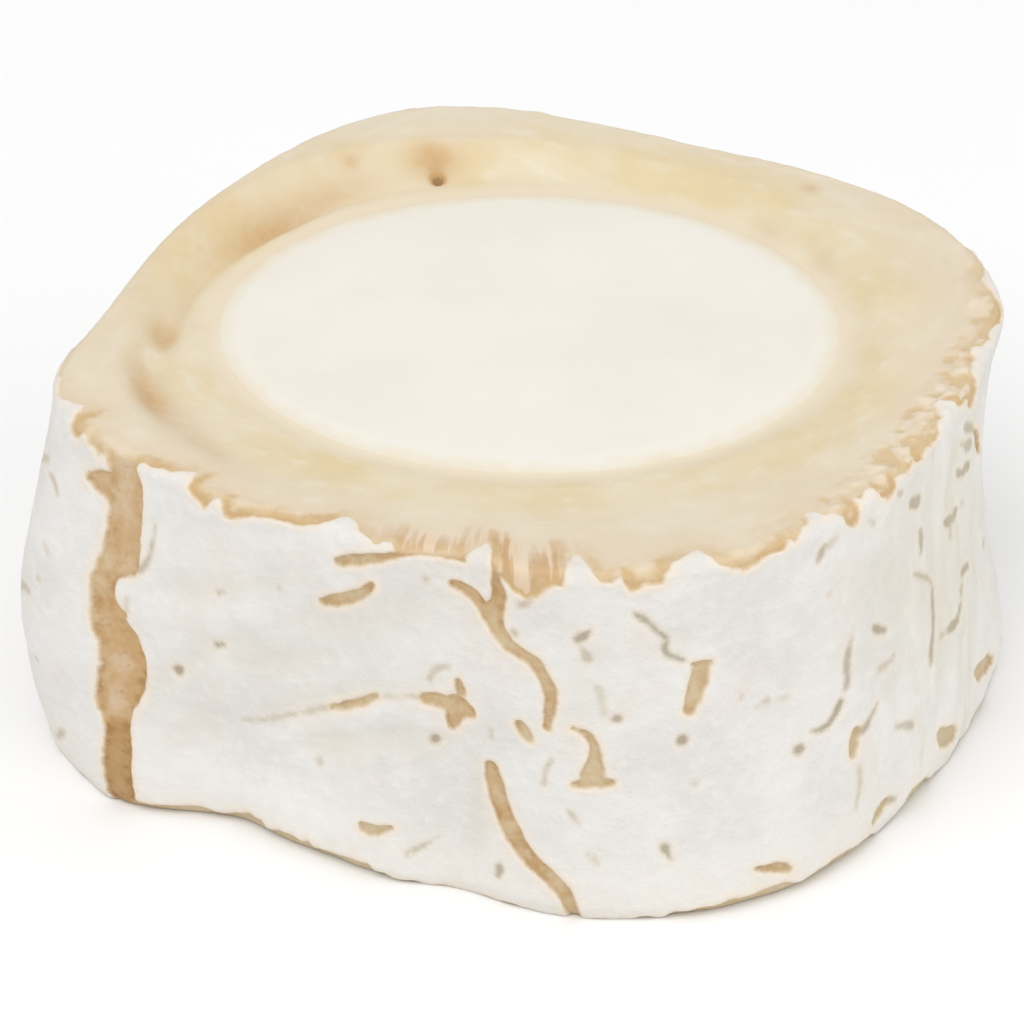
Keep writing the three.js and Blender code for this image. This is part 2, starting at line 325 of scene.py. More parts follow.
# The rind's upper edge: angle, height above the cut edge (in over the face where it is more
# than 0), and how brown the cut is beside it
rimLine = [
    (0, 0.8, 0.5), (1.5, 0.6, 0.5), (3, -0.2, 0.8), (5, -0.4, 0.9), (6.5, -0.2, 0.8), (8, 0.6, 0.6),
    (10, 1.2, 0.4), (12, 1.5, 0.3), (14, 0.4, 0.5), (15.5, -0.4, 0.5), (18, 0, 0.3), (22, -0.6, 0.4),
    (30, -0.4, 0.5), (45, -1.3, 0.3), (60, -1.8, 0.2), (90, -1.9, 0.3), (120, -2.0, 0.2),
    (150, -1.8, 0.2), (175, -1.4, 0.3), (186, -0.2, 0.2), (193, 0.4, 0.2), (197, 0.5, 0.3),
    (198.5, 1.5, 0.2), (199.5, 2.2, 0.2), (200.5, 1.4, 0.4), (201.2, 0.2, 0.9), (201.6, -1.2, 1),
    (202.6, -1.6, 1), (203.3, -1.2, 0.7), (203.8, -0.2, 0.3), (204.5, -0.2, 0.2), (205, -1, 0.5),
    (206, -1.2, 0.6), (206.8, -1.9, 0.8), (207.4, -1.4, 0.4), (208, -1.2, 0.4), (208.6, -2, 0.8),
    (212.8, -2, 0.9), (213.2, -0.4, 0.7), (213.9, 0.2, 0.6), (215.3, 0.2, 1), (216.5, 0.6, 0.8),
    (218, 0.6, 0.7), (219, 1, 0.5), (220, 1.6, 0.3), (221, 2, 0.2), (221.7, 1, 0.5), (222, 0, 0.9),
    (222.8, -0.5, 0.9), (224, -0.9, 0.9), (225, -1.5, 0.8), (225.8, -0.9, 0.4), (226.5, 0.2, 0.3),
    (227.2, 0.3, 0.4), (227.7, -0.4, 0.6), (228.2, -1.6, 0.9), (229.5, -1.7, 1), (231, -1.2, 0.9),
    (232.5, -0.7, 0.7), (235, -0.3, 0.7), (237, -0.4, 1), (239, -0.5, 1), (240.3, -0.2, 0.9),
    (242, 0.3, 0.9), (243.3, 1, 0.8), (244, 2, 0.5), (245.5, 2.6, 0.2), (247, 2.3, 0.3),
    (248.4, 1.1, 0.4), (250, 0.6, 0.5), (251.3, 0, 0.5), (252, 0.6, 0.5), (253.2, 0.9, 0.4),
    (254.2, 0, 0.8), (255, -0.5, 0.7), (258, -0.4, 0.5), (261, -0.6, 0.5), (263.4, -0.3, 0.7),
    (264.4, 0.8, 0.2), (265.4, 1.6, 0.1), (266.2, 2.5, 0.1), (267, 2.4, 0.2), (267.4, 0.8, 0.8),
    (267.6, -1, 0.9), (269.4, -1.9, 0.9), (270.2, -2.5, 1), (272, -2.9, 1), (273.5, -2.3, 0.9),
    (274.2, -1.5, 0.9), (275.3, -1, 0.9), (276.1, -1.1, 0.8), (276.6, 0.5, 0.4), (277.2, 2, 0.2),
    (278, 3.2, 0.1), (278.7, 3.2, 0.1), (279.4, 2, 0.2), (279.9, 0.3, 0.4), (280.7, -0.5, 0.6),
    (282, -0.7, 0.6), (282.6, -0.2, 0.4), (283.2, 0.1, 0.3), (283.6, -1.2, 0.8), (284.3, -1.9, 0.9),
    (285.3, -1.7, 0.8), (286.2, -1.2, 0.5), (288.1, -1.2, 0.8), (288.6, -0.3, 0.7), (289.6, 0.7, 0.6),
    (291, 1.3, 0.5), (293, 2, 0.2), (293.8, 2.2, 0.2), (294.6, 1.1, 0.3), (295.4, -0.2, 0.4),
    (297, -1.1, 0.6), (298.3, -1.6, 0.7), (300, -1.3, 0.7), (302, -0.8, 1), (304.2, -0.8, 1),
    (304.8, 0, 0.5), (305.3, 0.4, 0.4), (305.9, -0.4, 0.6), (306.6, 0.3, 0.4), (307.6, 0.9, 0.3),
    (309, 1.4, 0.2), (309.8, 2.4, 0.1), (310.8, 2.3, 0.1), (311.5, 0.8, 0.2), (313, 0.3, 0.3),
    (313.7, -0.3, 0.6), (314.3, -1.2, 0.8), (315.2, -1.7, 0.9), (316.2, -1.7, 0.8), (316.6, -0.4, 0.5),
    (317, 0.9, 0.2), (318, 0.7, 0.2), (319.3, 1.1, 0.2), (320.2, 0.7, 0.3), (320.7, -0.2, 0.6),
    (321.5, -1, 0.8), (322.5, -1.7, 1), (323.8, -1.6, 1), (324.5, -1.3, 0.8), (325, -0.2, 0.5),
    (327, -0.4, 0.5), (328.6, -0.6, 0.6), (330, -0.4, 0.6), (330.6, -0.8, 0.9), (331.6, -0.8, 0.9),
    (332.2, 0, 0.4), (333.4, 0, 0.4), (334, -0.5, 0.7), (335.5, -0.6, 0.8), (337, -0.2, 0.7),
    (338.5, 0.6, 0.3), (340, 1.1, 0.1), (342, 2, 0.1), (343, 1.9, 0.2), (343.8, 0.6, 0.6),
    (344.6, -0.4, 0.9), (346, -1.3, 0.9), (348, -2.3, 0.9), (349.6, -2.6, 0.8), (350.3, -0.9, 0.6),
    (351, 0.5, 0.3), (352.5, 0.9, 0.3), (354, 1.3, 0.7), (356, 1.5, 0.5), (357.6, 0.8, 0.6),
    (358.4, 0.1, 0.7), (359.4, 0.8, 0.5),
]

# Creases and ridges that handling and the wrapper left: how deep (less than 0 for a ridge), how
# wide, and then places along it: angle, height
folds = [
    (0.26, 1.2, [(216, 12.5), (219.7, 15.8), (226, 20), (231, 21.5)]),
    (0.25, 1.6, [(224, 11), (232, 13.3), (240, 16), (251, 20), (257, 20.5)]),
    (0.18, 1.3, [(229, 18.5), (236, 20.5), (243, 22)]),
    (0.3, 1.5, [(240, 12), (247, 14.2), (254, 15.8), (260, 15.8)]),
    (0.12, 2.5, [(222, 8.5), (232, 9), (240, 10.5), (246, 11.5)]),
    (0.22, 2.2, [(242, 25.5), (249, 27), (256, 29.5)]),
    (0.15, 1.4, [(219, 24), (226, 25.5), (234, 28), (241, 30.5)]),
    (0.18, 1.0, [(265.4, 14), (265.4, 9), (264.8, 5)]),
    (0.22, 1.2, [(323, 31), (321.5, 27.5), (323, 25), (325, 21.5)]),
    (0.29, 1.2, [(342.5, 31), (339, 26), (336, 19), (334, 12)]),
    (0.24, 1.3, [(350, 22), (347, 17), (345, 11)]),
    (-0.18, 1.3, [(238, 13.6), (246, 16.3), (254, 18.2)]),
    (-0.12, 2.2, [(222, 6), (232, 6.5), (240, 6), (248, 4)]),
    (-0.09, 0.6, [(218, 33), (226, 33.5), (238, 34.3), (250, 31.8)]),
    (-0.15, 1.5, [(219, 21), (226, 22.5), (236, 24.5)]),
]
# Patches of tint where the bloom is thinner and the cheese shows through, most of them also painted shade
# along the creases; where less than 0, painted light that makes the bloom whiter, low on the left: angle,
# height, spreads, how much
tintsAndPaintedShading = [
    (322, 28, 10, 9, 0.15), (334, 22, 10, 12, 0.25), (345, 25, 8, 10, 0.3), (244, 13, 10, 3, 0.1),
    (265.5, 9, 1.6, 6, 0.25), (279, 24, 3, 10, 0.2), (232, 20, 8, 2, 0.15), (236, 5, 18, 3.5, -0.6),
    (232, 12, 8, 3, -0.5),
]
# How far up from the foot the rind is worn off: angle, height
footLine = [
    (18, -0.9), (24, 0.7), (33, 1.1), (38, -0.9), (66, -0.9), (71, 0.8), (80, 1.2), (86, -0.9), (108, -0.9),
    (114, 0.6), (126, 1.1), (130, -0.9), (158, -0.9), (162, 0.9), (169, 0.7), (173, -0.9), (211, -0.9),
    (214, 0.1), (217, 0.3), (219, 0.5), (222, 0.6), (223.5, 0), (226, 0.6), (229, 1.3), (231, 1.1),
    (232, 0.5), (236, 1.1), (238.5, 0.5), (239.4, 0.8), (240.5, 0.4), (243, 0.5), (246, 0.7),
    (249.5, 0.9), (250.3, -0.2), (252, 0.2), (253, -0.4), (255, -0.9), (287, -0.9), (290, -0.2), (293, 0.5),
    (296, 0.7), (300, 1.1), (304, 0.8), (305.5, 0), (308.5, 0.7), (313, 0.8), (315.5, 0.5), (317, 0.2),
    (319, -0.6), (324, -0.6), (326, 1), (328.5, 1.4), (331, 0.9), (333, -0.6), (345, -0.6), (349, 0.2),
    (354, -0.9),
]
hiddenSide = {"from": 20, "to": 182, "cracks": 6, "patches": 10, "hairs": 9, "spots": 24, "seed": 11}


perDegree = 0.735   # mm along the wall


# A crack that wanders off from a place picked at random
def wander(pick, widest):
    angle, up = pick.uniform(hiddenSide["from"], hiddenSide["to"]), pick.uniform(6, 32)
    heading = pick.uniform(0, 2 * math.pi)
    line = [(angle, up, 0.1)]
    for step in range(pick.randint(3, 7)):
        heading += pick.uniform(-0.7, 0.7)
        reach = pick.uniform(1.0, 2.2)
        angle += reach * math.cos(heading) / perDegree
        up += reach * math.sin(heading)
        if 1 < up < 34:
            line.append((angle, up, widest * pick.uniform(0.5, 1.1)))
    return line


# The side away from the first view is torn in the same way, at random
def tearHiddenSide():
    pick = random.Random(hiddenSide["seed"])
    low, high = hiddenSide["from"], hiddenSide["to"]
    for _ in range(hiddenSide["cracks"]):
        tears.append((pick.uniform(0.4, 0.8), wander(pick, pick.uniform(0.3, 0.7))))
    for _ in range(hiddenSide["patches"]):
        angle, up, width = pick.uniform(low, high), pick.uniform(4, 32), pick.uniform(0.35, 1.1)
        aside, below = pick.uniform(-2.5, 2.5), pick.uniform(-1.8, 1.8)
        tears.append((pick.uniform(0.2, 0.7), [
            (angle - aside, up + below, width * 0.3), (angle, up, width),
            (angle + aside, up - below, width * 0.7)]))
    for _ in range(hiddenSide["hairs"]):
        marks.append((pick.uniform(0.3, 0.9), wander(pick, pick.uniform(0.2, 0.35))))
    for _ in range(hiddenSide["spots"]):
        marks.append((pick.uniform(0.3, 1), [
            (pick.uniform(low, high), pick.uniform(2, 34), pick.uniform(0.25, 0.55))]))


tearHiddenSide()


# A line with bends rounded, through the same places
def rounded(line):
    if len(line) < 3:
        return line
    ends = [line[0]] + line + [line[-1]]
    places = []
    for before, start, end, after in zip(ends, ends[1:], ends[2:], ends[3:]):
        for t in (0, 0.25, 0.5, 0.75):
            places.append(tuple(
                0.5 * (2 * q + (r - p) * t + (2 * p - 5 * q + 4 * r - s) * t * t
                       + (3 * q - p - 3 * r + s) * t ** 3)
                for p, q, r, s in zip(before, start, end, after)))
    return places + [line[-1]]


# Distance to the middle of a line, and its third value there
def besideLine(line, angle, up):
    nearest, width = np.full(angle.shape, np.inf), np.zeros(angle.shape)
    for start, end in zip(line, line[1:] or line):
        x, y = turnTo(angle, start[0]) * perDegree, up - start[1]
        runX, runY = turnTo(end[0], start[0]) * perDegree, end[1] - start[1]
        part = np.clip((x * runX + y * runY) / max(runX * runX + runY * runY, 1e-6), 0, 1)
        away = np.hypot(x - runX * part, y - runY * part)
        width = np.where(away < nearest, start[2] + (end[2] - start[2]) * part, width)
        nearest = np.minimum(nearest, away)
    return nearest, width


# Distance to the nearest tear, less than 0 inside it, and its tone
def nearestTear(angle, up):
    nearest, tone = np.full(angle.shape, np.inf), np.zeros(angle.shape)
    for shade, line in tears:
        middle, width = besideLine(rounded(line), angle, up)
        away = middle - width + rind["slope"]
        tone = np.where(away < nearest, shade, tone)
        nearest = np.minimum(nearest, away)
    return nearest, tone


# Distance to the nearest mark's edge, less than 0 inside it, and how dark it is
def nearestMark(angle, up):
    nearest, dark = np.full(angle.shape, 3.0), np.zeros(angle.shape)
    for shade, line in marks:
        middle, half = besideLine(rounded(line), angle, up)
        away = middle - half * 1.1 - 0.05
        dark = np.where(away < nearest, shade, dark)
        nearest = np.minimum(nearest, away)
    return nearest, dark * (nearest < 1.6)


# Distance below the rind's upper edge, and how brown the cut is there
def belowRim(angle, beyond):
    angles, heights, tones = zip(*rimLine)
    under = np.interp(angle, angles, heights, period=360) - beyond
    away, _ = besideLine(rimLine + [rimLine[0]], angle, beyond)
    return np.copysign(away, under), np.interp(angle, angles, tones, period=360)


# The outer right of the cut face, where rind and edge are crinkled together
def crinkleAt(angle, along, skin):
    beyond = along - cornerAt(angle)
    zone = hump(turnTo(angle, 340), 30) * smooth(beyond, -2.2, -0.8) * (1 - smooth(beyond, 2.5, 5))
    crinkle = 1.5 * lumps(skin, 1.7, 42, (1, 1, 1.5)) + 0.8 * lumps(skin, 0.8, 43)
    return zone, crinkle


# Round the sides and the back the tears and marks are more ragged
def raggedAt(angle):
    return smooth(np.abs(turnTo(angle, 82)), 116, 98)


# Distance to the nearest place with no rind, less than 0 where there is none, the tone there, and
# how far it belongs to the cut edge
def coverAt(angle, along):
    skin = skinSpot(angle, along)
    torn, tone = nearestTear(angle, along)
    torn = torn + 0.12 * lumps(skin, 1.1, 1)
    torn = torn + raggedAt(angle) * (0.45 * lumps(skin, 1.5, 2) + 0.25 * lumps(skin, 0.7, 8))
    zone, crinkle = crinkleAt(angle, along, skin)
    upper, rimTone = belowRim(angle, along - cornerAt(angle))
    ragged = 0.2 + 0.8 * smooth(np.abs(turnTo(angle, 284)), 80, 100)
    upper = upper + rind["slope"] + 0.6 * ragged * lumps(skin, 1.7, 3) + 0.15 * lumps(skin, 0.8, 4)
    upper = upper + 0.5 * zone * crinkle
    footAngles, worn = zip(*footLine)
    lower = 0.7 * (along - np.interp(angle, footAngles, worn, period=360)) + 0.4 * lumps(skin, 1.6, 6)
    others = np.minimum(torn, lower)
    tone = np.where(lower < torn, 0.15, tone)
    edge = smooth(others - upper, -0.4, 0.4)
    return np.minimum(others, upper), tone + (rimTone - tone) * edge, edge


def selectOnly(piece):
    bpy.ops.object.select_all(action="DESELECT")
    piece.select_set(True)
    bpy.context.view_layer.objects.active = piece


def pointsOf(piece):
    values = np.empty(len(piece.data.vertices) * 3)
    piece.data.vertices.foreach_get("co", values)
    return values.reshape(-1, 3)


# Nothing stands out of the box that the CAD solids fill
def setPoints(piece, points):
    piece.data.vertices.foreach_set("co", np.clip(points * mm, cadBox[0], cadBox[1]).ravel())
    piece.data.update()


def setMasks(piece, masks):
    for name, values in masks.items():
        mask = piece.data.attributes.new(name, "FLOAT", "POINT")
        mask.data.foreach_set("value", np.asarray(values, dtype=np.float32))


def setSpots(piece, name, spots):
    places = piece.data.attributes.new(name, "FLOAT_VECTOR", "POINT")
    places.data.foreach_set("vector", np.asarray(spots * mm, dtype=np.float32).ravel())


# Places for lines that wind round the log and rise a little to the right; they meet at its back
def windingSpot(angle, along):
    around = turnTo(angle, 270) * perDegree
    return np.stack([0.2 * around, 0 * around, along - 0.22 * around], axis=1)


# Columns lie closer together on the front, where the tears are finest
def spreadColumns(angle):
    return (angle - 24 * np.cos(np.radians(angle))) % 360


# A plain closed ring to shape, with the angle and the row of each of its points
def plainRing(name, columns, rows):
    middle = 0.04
    bpy.ops.mesh.primitive_circle_add(
        vertices=rows, radius=middle / 4, location=(middle, 0, 0), rotation=(math.pi / 2, 0, 0))
    piece = bpy.context.object
    piece.name = name
    bpy.ops.object.transform_apply()
    turned = piece.modifiers.new("turned", "SCREW")
    turned.steps = turned.render_steps = columns
    turned.use_merge_vertices = True
    bpy.ops.object.modifier_apply(modifier="turned")
    points = pointsOf(piece)
    angle = np.degrees(np.arctan2(points[:, 1], points[:, 0]))
    fromMiddle = np.hypot(points[:, 0], points[:, 1]) - middle
    tilt = np.degrees(np.arctan2(points[:, 2], fromMiddle))
    row = np.round((tilt + 90) % 360 / 360 * rows).astype(int) % rows
    return piece, spreadColumns(angle), row


def finishShape(piece, sharp=60):
    selectOnly(piece)
    bpy.ops.object.mode_set(mode="EDIT")
    bpy.ops.mesh.select_all(action="SELECT")
    bpy.ops.mesh.normals_make_consistent(inside=False)
    bpy.ops.object.mode_set(mode="OBJECT")
    bpy.ops.object.shade_smooth_by_angle(angle=math.radians(sharp))
    piece.select_set(False)


# Where the wall is creased up and down, from 0 to 1
def uprightAt(angle):
    return hump(turnTo(angle, 336), 20) + 0.6 * hump(turnTo(angle, 120), 35)


# Creases, ridges and low lumps of the wall, the same for rind and paste
def foldsAt(angle, along, skin):
    folded = 0 * angle
    for deep, wide, line in folds:
        away, _ = besideLine(rounded([spot + (0,) for spot in line]), angle, along)
        folded = folded - deep * hump(away, wide)
    wall = 1 - smooth(along, 33, 37)
    low = 0.22 * lumps(skin, 7, 22) + 0.12 * lumps(skin, 3, 23, (1, 1, 2)) + 0.04 * lumps(skin, 1.4, 24)
    upright = uprightAt(angle) * lumps(skin, 3, 25, (1, 1, 4))
    folded = folded + 0.35 * np.minimum(upright + 0.05, 0)
    return folded, (folded + low + 0.14 * upright) * wall


rind = {
    "columns": 720,
    "outerRows": 130,
    "innerRows": 6,     # with the outer ones an even number
    "thick": 0.32,      # on the wall
    "thickOnFace": 0.22,
    "inside": 1.1,      # its hidden inner face lies so deep
    "dip": 0.16,        # where it is torn away it passes under the paste by this
    "slope": 0.28,      # its torn edge slopes down over twice this
    "lowest": -0.9,     # it starts under the foot, and reaches in over the face
    "overFace": 4.0,
}


# Stains on the cut ring, with painted shade along the moat behind the lip (the long tan ones from 121 to
# 165 degrees, and the broad one up the lip's inner slope): angle, distance from the axis, spread in degrees
# and in mm, how brown
stainsAndMoatShade = [
    (103, 31.6, 0.9, 0.4, 0.9), (137, 30.6, 9, 0.7, 0.25), (103, 33.2, 3.5, 1.0, 0.25),
    (138, 31.2, 12, 1.2, 0.6), (121, 31.6, 10, 1.1, 0.35), (103, 32.6, 4.5, 1.5, 0.55),
    (103, 31.6, 1.3, 0.5, 1.2), (177.3, 31.8, 4.5, 1.3, 0.6), (196, 34, 8, 1.6, 0.7),
    (165, 31, 12, 1.1, 0.3), (211, 32.6, 10, 1.4, 0.35), (41, 31.4, 4, 0.9, 0.35),
    (27, 32.2, 4, 1.0, 0.3), (117, 33.6, 1.8, 0.6, 0.45), (42.5, 38.2, 1.5, 0.8, 0.5),
    (104, 40.6, 1.2, 0.5, 0.5), (185.8, 32.6, 2.2, 0.7, -0.6), (150, 34, 50, 1.8, 0.15),
]

# Dents in it: angle, distance from the axis, spread in degrees and in mm, how deep
dents = [
    (137, 30.5, 11, 0.5, 0.22),
    (103, 31.7, 1.2, 0.6, 0.9), (117, 33.6, 1.6, 0.6, 0.25), (178, 31.9, 4, 1.1, 0.45),
    (196, 33.8, 6, 1.4, 0.45), (42.5, 38.2, 1.5, 0.8, 0.08), (41, 31.4, 4, 0.7, 0.25),
    (27, 32.2, 4, 0.8, 0.25), (136, 31, 12, 0.8, 0.25),
]


# The depth of all the dents there, or how brown the stains and the painted moat shade are
def marksAt(places, angle, out):
    total = 0 * angle
    for at, radius, spread, width, amount in places:
        total = total + amount * hump(turnTo(angle, at), spread) * hump(out - radius, width)
    return total


# Torn places low on the right are more olive than brown
def oliveAt(angle, along):
    right = hump(turnTo(angle, 330), 24) * (1 - smooth(along, 12, 24))
    return np.maximum(right, 0.4 * (1 - smooth(along, 1.5, 3.5)) * (turnTo(angle, 225) > 0))


# Dents, soft lumps and crumbs of the cut face, the same for rind and paste
def reliefAt(angle, along, skin):
    out, up = skinAt(angle, along, 0 * angle)
    plain, beyond = place(angle, out, up), along - cornerAt(angle)
    zone, crinkle = crinkleAt(angle, along, skin)
    soft = 0.16 * lumps(plain, 5.5, 40) + 0.06 * lumps(plain, 2.2, 41)
    relief = soft * smooth(out - coreAt(angle), 0, 3) - marksAt(dents, angle, out)
    relief = relief + 0.35 * zone * crinkle
    relief = relief + 0.12 * hump(beyond - 0.6, 1.6) * lumps(plain, 1.2, 43)
    return relief * smooth(beyond, -0.5, 1.5)


# The paste lies under the rind on the wall and comes up to the cut face
def pasteLift(angle, along):
    corner = cornerAt(angle)
    return -rind["thick"] * smooth(along, -0.8, 0.6) * (1 - smooth(along, corner - 1.4, corner + 1.2))


def makeRind():
    rows = rind["outerRows"] + rind["innerRows"]
    piece, angle, row = plainRing("bloomy_rind", rind["columns"], rows)
    outer = row < rind["outerRows"]
    share = row / (rind["outerRows"] - 1)
    back = (rows - row) / (rind["innerRows"] + 1)
    share = np.where(outer, share, back)
    low = rind["lowest"]
    along = low + share * (cornerAt(angle) + rind["overFace"] - low)
    cover, tone, edge = coverAt(angle, along)
    skin, corner = skinSpot(angle, along), cornerAt(angle)
    folded, wallShape = foldsAt(angle, along, skin)
    mark, markDark = nearestMark(angle, along)
    mark = mark + (0.08 + 0.3 * raggedAt(angle)) * lumps(skin, 1.3, 7)
    thick = rind["thick"] + (rind["thickOnFace"] - rind["thick"]) * smooth(along, corner - 1, corner + 1)
    height = -rind["dip"] + (thick + rind["dip"]) * smooth(cover, -0.2, 0.45)
    curl = 0.05 * hump(cover - 0.6, 0.35)
    nap = 0.05 * lumps(skin, 1.1, 30) - 0.08 * markDark * hump(np.maximum(mark, 0), 0.3)
    lift = pasteLift(angle, along) + height + (curl + nap) * smooth(cover, 0, 0.3)
    lift = lift + reliefAt(angle, along, skin)
    lift = np.where(outer, lift + wallShape, -rind["inside"])
    setPoints(piece, place(angle, *skinAt(angle, along, lift)))
    tintAndPaintedShading = sum(by * hump(turnTo(angle, at), wide) * hump(along - up, high)
               for at, up, wide, high, by in tintsAndPaintedShading)
    setMasks(piece, {
        "cover": cover,
        "tone": tone,
        "mark": mark,
        "markDark": markDark,
        "edge": edge,
        # painted shade: the creases' depth adds to the tint, shading them olive-grey
        "tintAndPaintedShading": tintAndPaintedShading + np.maximum(-folded, 0),
        "brushed": hump(turnTo(angle, 234), 22),
        "olive": oliveAt(angle, along),
        "upright": np.clip(uprightAt(angle), 0, 1),
    })
    setSpots(piece, "skin", skin)
    setSpots(piece, "winding", windingSpot(angle, along))
    finishShape(piece)
    print("rind:", len(piece.data.polygons), "faces")
    return piece


paste = {
    "columns": 720,
    "wallRows": 50,
    "crownRows": 10,
    "faceRows": 62,
    "wellRows": 3,      # down beside the core
    "underRows": 5,
}


def makePaste():
    groups = [paste[name + "Rows"] for name in ("wall", "crown", "face", "well", "under")]
    rows = sum(groups)
    piece, angle, row = plainRing("ripened_paste", paste["columns"], rows)
    foot, crown = log["footRound"], log["crownRound"]
    corner, inner = cornerAt(angle), coreAt(angle)
    top = wallAt(angle, log["height"]) - crown - inner
    wall, crownEnd, faceEnd, wellEnd, _ = np.cumsum(groups)
    along = np.select(
        [row < wall, row < crownEnd],
        [-foot + (row / wall) * (corner - crown + foot),
         corner - crown + (row - wall) / (crownEnd - wall) * 2 * crown],
        corner + crown + np.clip((row - crownEnd) / (faceEnd - 1 - crownEnd), 0, 1) ** 1.2 * top)
    plainOut, _ = skinAt(angle, along, 0 * angle)
    skin = skinSpot(angle, along)
    onFace = smooth(along, corner - 0.5, corner + 1.5)
    away = plainOut - inner
    lift = pasteLift(angle, along) + foldsAt(angle, along, skin)[1] * (1 - onFace)
    zone, crinkle = crinkleAt(angle, along, skin)
    out, up = skinAt(angle, along, lift + reliefAt(angle, along, skin))
    # beside the core and under the foot
    well = (row - faceEnd + 1) / (wellEnd - faceEnd)
    inWell, under = (row >= faceEnd) & (row < wellEnd), row >= wellEnd
    edgeUp = faceAt(angle, inner)
    out = np.where(inWell | under, inner, out)
    up = np.where(inWell, edgeUp * (1 - well * 0.98), up)
    outward = (row - wellEnd + 0.5) / (rows - wellEnd + 0.5)
    out = np.where(under, inner + outward * (wallAt(angle, foot) - foot - inner), out)
    up = np.where(under, 0, up)
    setPoints(piece, place(angle, out, up))
    cover, tone, edge = coverAt(angle, along)
    setMasks(piece, {
        "cover": cover,
        "tone": tone,
        "edge": edge,
        "fromCorner": along - corner,
        "fromCore": np.where(under, out - inner, away),
        # stains, and painted shade along the moat
        "stainAndMoatShade": marksAt(stainsAndMoatShade, angle, plainOut) * onFace * smooth(plainOut, 29.8, 30.5),
        "crinkle": zone * crinkle,
        "combed": hump(turnTo(angle, 271.6), 4.4) ** 0.7 + 0.6 * hump(turnTo(angle, 258), 6),
        "olive": oliveAt(angle, along),
        "bandStrength": 0.2 + 0.8 * smooth(np.abs(turnTo(angle, 284)), 97, 80),
    })
    setSpots(piece, "skin", skin)
    finishShape(piece, 50)
    print("paste:", len(piece.data.polygons), "faces")
    return piece


core = {
    "columns": 720,
    "rings": 44,
    "into": 0.35,       # its side reaches into the ring by this
    "below": 0.03,      # and the rim of its face lies under the ring's edge by this
}


# A sphere pressed into the plug's two faces and side
def makeCore():
    bpy.ops.mesh.primitive_uv_sphere_add(segments=core["columns"], ring_count=core["rings"], radius=0.03)
    piece = bpy.context.object
    piece.name = "chalky_core"
    points = pointsOf(piece)
    flat = np.hypot(points[:, 0], points[:, 1])
    angle = spreadColumns(np.degrees(np.arctan2(points[:, 1], points[:, 0])))
    fromTop = np.round(np.degrees(np.arctan2(flat, points[:, 2])) / 180 * core["rings"])
    half = core["rings"] / 2
    share = np.clip(np.minimum(fromTop, core["rings"] - fromTop) / (half - 2), 0, 1)
    inner = coreAt(angle)
    out = share * inner
    plain = place(angle, out, log["height"] + 0 * angle)
    top = log["height"] + log["core"]["dome"] * (1 - share ** 2)
    top = top - log["sag"]["depth"] * hump(inner - out + 0.8, log["sag"]["width"])
    top = top + (0.05 * lumps(plain, 6, 50) + 0.02 * lumps(plain, 1.6, 51)) * (1 - smooth(share, 0.96, 1))
    # the rows between the faces go down inside the ring
    deep = np.abs(fromTop - half) <= 1
    sink = 0.5 - (fromTop - half) * 0.4
    up = np.where(fromTop < half - 1, top, 0)
    up = np.where(deep, sink * top, up)
    out = np.where(deep, inner + core["into"], out)
    # its face passes just under the ring's edge
    under = np.abs(fromTop - half) == 2
    out = np.where(under, inner + core["into"], out)
    up = np.where(under & (fromTop < half), up - core["below"], up)
    setPoints(piece, place(angle, out, up))
    setMasks(piece, {"fromCore": np.minimum(out, inner) - inner})
    finishShape(piece, 50)
    print("core:", len(piece.data.polygons), "faces")
    return piece


def colour(code):
    parts = [int(code[i:i + 2], 16) / 255 for i in (1, 3, 5)]
    return tuple(p / 12.92 if p <= 0.04045 else ((p + 0.055) / 1.055) ** 2.4 for p in parts) + (1,)


# Adds a node and gives one of its outputs. Settings are set on it. Links go from its inputs, by
# name or in turn, to outputs, values or hex colours.
def addNode(tree, kind, settings, links, output=0):
    node = tree.nodes.new("ShaderNode" + kind)
    for name, value in settings.items():
        setattr(node, name, value)
    for name, source in (links if isinstance(links, dict) else dict(enumerate(links))).items():
        if isinstance(source, bpy.types.NodeSocket):
            tree.links.new(source, node.inputs[name])
        else:
            node.inputs[name].default_value = colour(source) if isinstance(source, str) else source
    return node.outputs[output] if len(node.outputs) else None


# Settings that are used again and again. The Map Range node's inputs are in turn the value, its
# range, and the least and the most that comes out.
smoothly = {"interpolation_type": "SMOOTHSTEP"}
times = {"operation": "MULTIPLY"}
timesPlus = {"operation": "MULTIPLY_ADD"}
larger = {"operation": "MAXIMUM"}


def newMaterial(name):
    material = bpy.data.materials.new(name)
    material.use_nodes = True
    material.node_tree.nodes.clear()
    return material, material.node_tree


# The surface's shader over bumps one on another, each with its height, depth in mm and strength
def closeMaterial(tree, surface, bumps=()):
    for height, depthMm, strength in bumps:
        links = {"Height": height, "Distance": depthMm * mm, "Strength": strength}
        if "Normal" in surface:
            links["Normal"] = surface["Normal"]
        surface["Normal"] = addNode(tree, "Bump", {}, links)
    shader = addNode(tree, "BsdfPrincipled", {}, surface)
    addNode(tree, "OutputMaterial", {}, [shader])


# Random blotches of one size, from about -0.3 to 0.3. They follow the places in an attribute, or
# the piece's own coordinates where none is named.
def grain(tree, sizeMm, detail=3.0, roughness=0.55, stretch=(1, 1, 1), places="skin"):
    if places:
        spot = addNode(tree, "Attribute", {"attribute_name": places}, [], "Vector")
    else:
        spot = addNode(tree, "TexCoord", {}, [], "Object")
    if stretch != (1, 1, 1):
        spot = addNode(tree, "Mapping", {}, {"Vector": spot, "Scale": stretch})
    noisy = addNode(tree, "TexNoise", {}, {
        "Vector": spot, "Scale": 1 / (sizeMm * mm), "Detail": detail, "Roughness": roughness})
    return addNode(tree, "Math", {"operation": "SUBTRACT"}, [noisy, 0.5])


